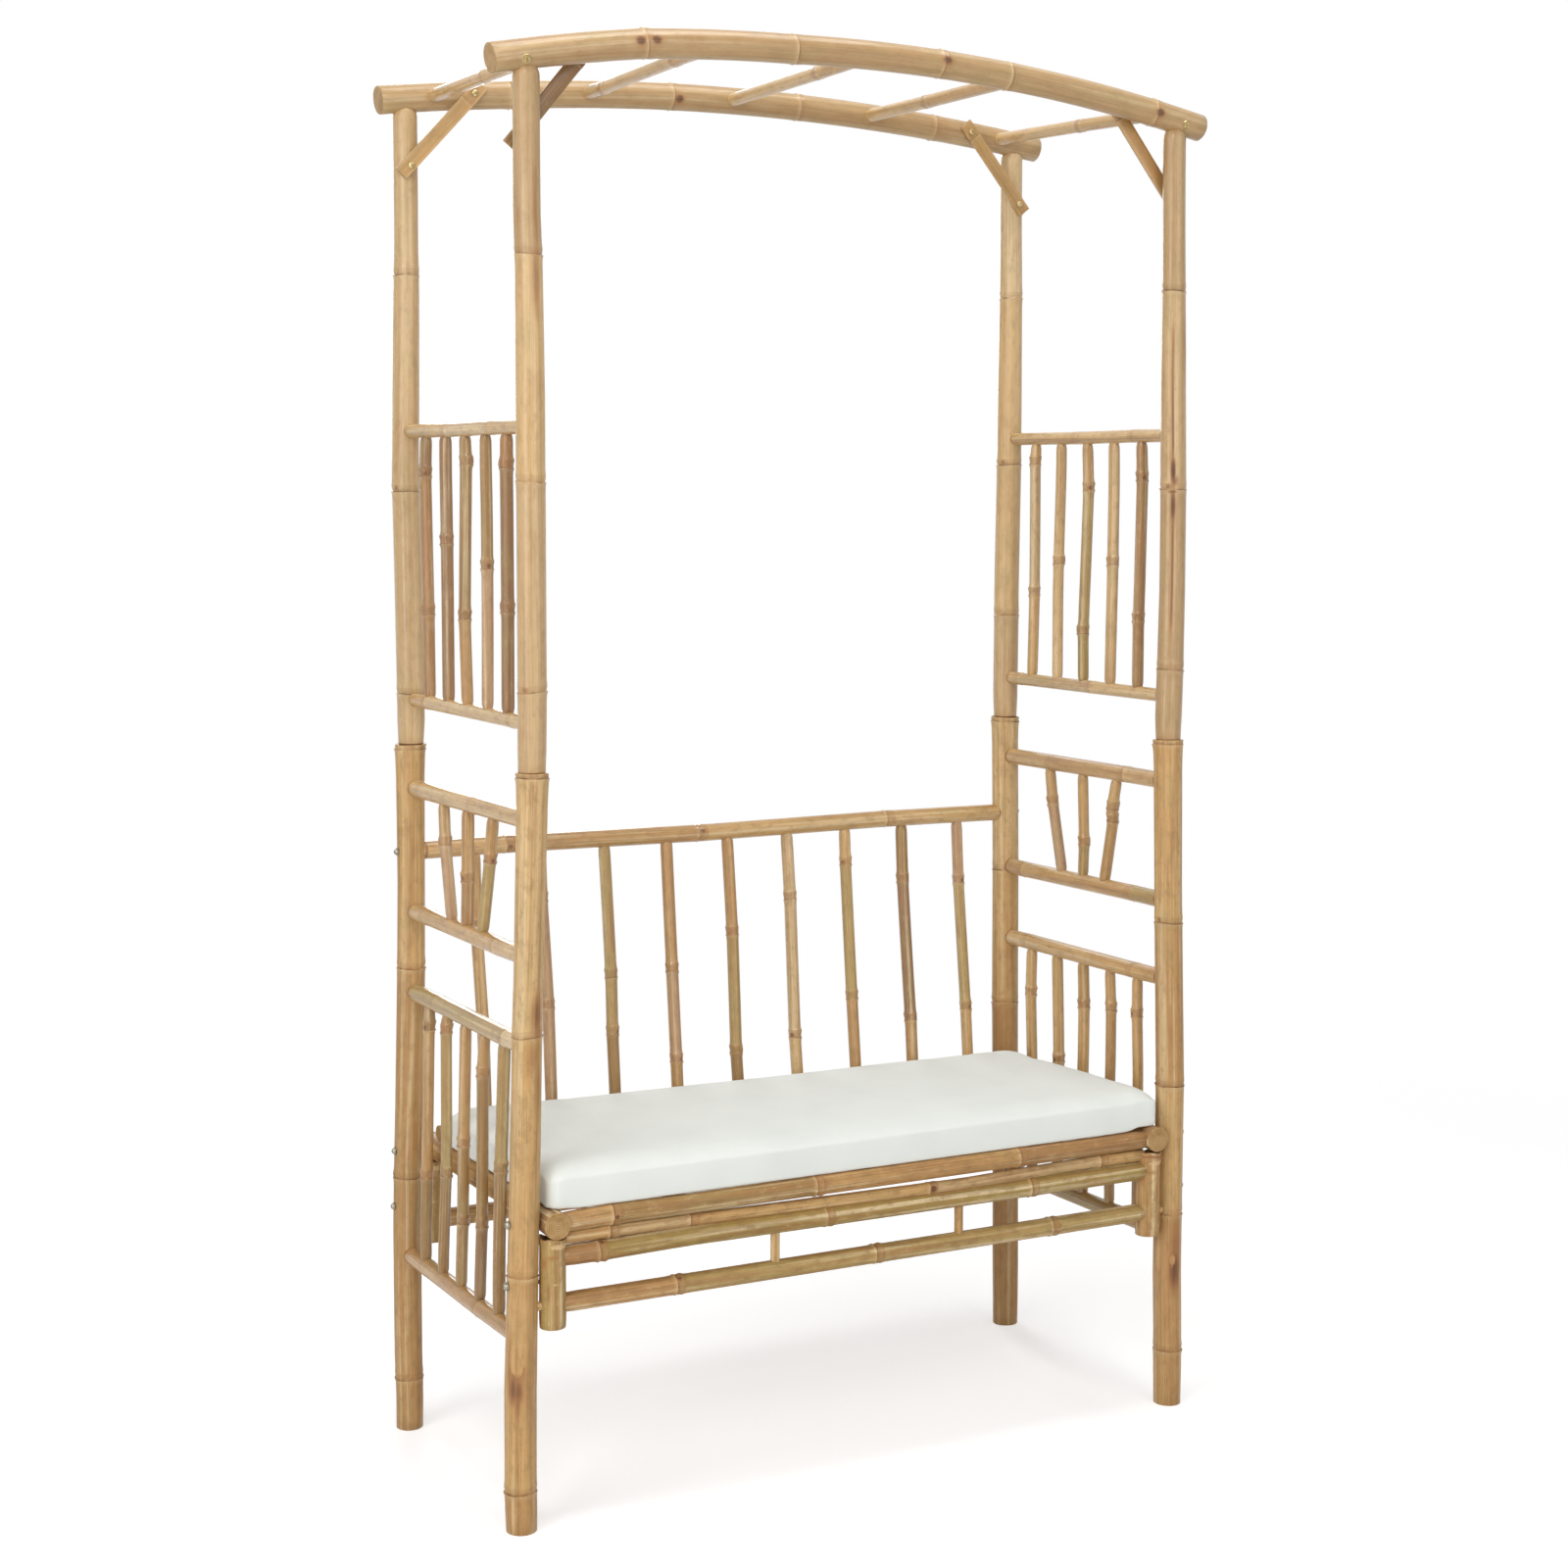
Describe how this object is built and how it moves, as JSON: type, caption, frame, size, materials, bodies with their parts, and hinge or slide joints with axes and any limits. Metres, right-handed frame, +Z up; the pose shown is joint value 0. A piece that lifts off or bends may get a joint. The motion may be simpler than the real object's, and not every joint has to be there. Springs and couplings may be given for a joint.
{
  "type": "arbour seat",
  "caption": "Bamboo garden arbour seat: corner posts under an arched slatted roof, slatted side panels, a reclined slatted back and a bench with a loose cushion.",
  "frame": {"origin": "on the ground, in the middle of the four feet", "axes": "+Z up, the open front of the seat faces -Y, +X to the viewer's right from the front"},
  "size_m": [1.1232, 0.488, 2],
  "materials": {
    "lower_culm": "bamboo culm, satin clear varnish",
    "upper_culm": "pale bamboo culm, satin clear varnish",
    "beam_culm": "bent bamboo culm, satin clear varnish",
    "panel_culm": "thin bamboo culm, satin clear varnish",
    "apron_culm": "olive-tan bamboo culm, satin clear varnish",
    "dowel_wood": "split bamboo and turned dowel, bare",
    "canvas": "off-white woven canvas",
    "steel": "zinc-plated, slightly dull"
  },
  "bodies": {
    "frame": {"back_apron_low_rail": "apron_culm", "back_left_corner_brace": "upper_culm", "back_left_lower_post": "lower_culm", "back_left_post_dowel": "dowel_wood", "back_left_seat_bolt": "steel", "back_left_stub_bolt": "steel", "back_left_stub_post": "apron_culm", "back_left_upper_post": "upper_culm", "back_right_corner_brace": "upper_culm", "back_right_lower_post": "lower_culm", "back_right_post_dowel": "dowel_wood", "back_right_seat_bolt": "steel", "back_right_stub_bolt": "steel", "back_right_stub_post": "apron_culm", "back_right_upper_post": "upper_culm", "back_roof_beam": "beam_culm", "backrest_bars": "panel_culm", "backrest_top_rail": "panel_culm", "front_apron_low_rail": "apron_culm", "front_apron_thick_rail": "apron_culm", "front_apron_thin_bar": "apron_culm", "front_left_corner_brace": "upper_culm", "front_left_lower_post": "lower_culm", "front_left_post_dowel": "dowel_wood", "front_left_seat_bolt": "steel", "front_left_stub_bolt": "steel", "front_left_stub_post": "apron_culm", "front_left_upper_post": "upper_culm", "front_right_corner_brace": "upper_culm", "front_right_lower_post": "lower_culm", "front_right_post_dowel": "dowel_wood", "front_right_seat_bolt": "steel", "front_right_stub_bolt": "steel", "front_right_stub_post": "apron_culm", "front_right_upper_post": "upper_culm", "front_roof_beam": "beam_culm", "left_arm_rail": "panel_culm", "left_fan_bars": "panel_culm", "left_fan_top_rail": "panel_culm", "left_lower_balusters": "panel_culm", "left_seat_side_culm": "apron_culm", "left_upper_panel_balusters": "panel_culm", "left_upper_panel_top_rail": "panel_culm", "right_arm_rail": "panel_culm", "right_fan_bars": "panel_culm", "right_fan_top_rail": "panel_culm", "right_lower_balusters": "panel_culm", "right_seat_side_culm": "apron_culm", "right_upper_panel_balusters": "panel_culm", "right_upper_panel_top_rail": "panel_culm", "roof_cross_bar_1": "upper_culm", "roof_cross_bar_2": "upper_culm", "roof_cross_bar_3": "upper_culm", "roof_cross_bar_4": "upper_culm", "roof_cross_bar_5": "upper_culm", "seat_back_rail": "apron_culm", "seat_front_rail": "apron_culm", "seat_slat_mat": "dowel_wood"},
    "cushion": {"seat_cushion": "canvas"}
  },
  "joints": [
    {"name": "cushion_lift", "type": "slide", "parent": "frame", "child": "cushion", "axis": [0, 0, 1], "range_m": [0, 0.3]}
  ]
}
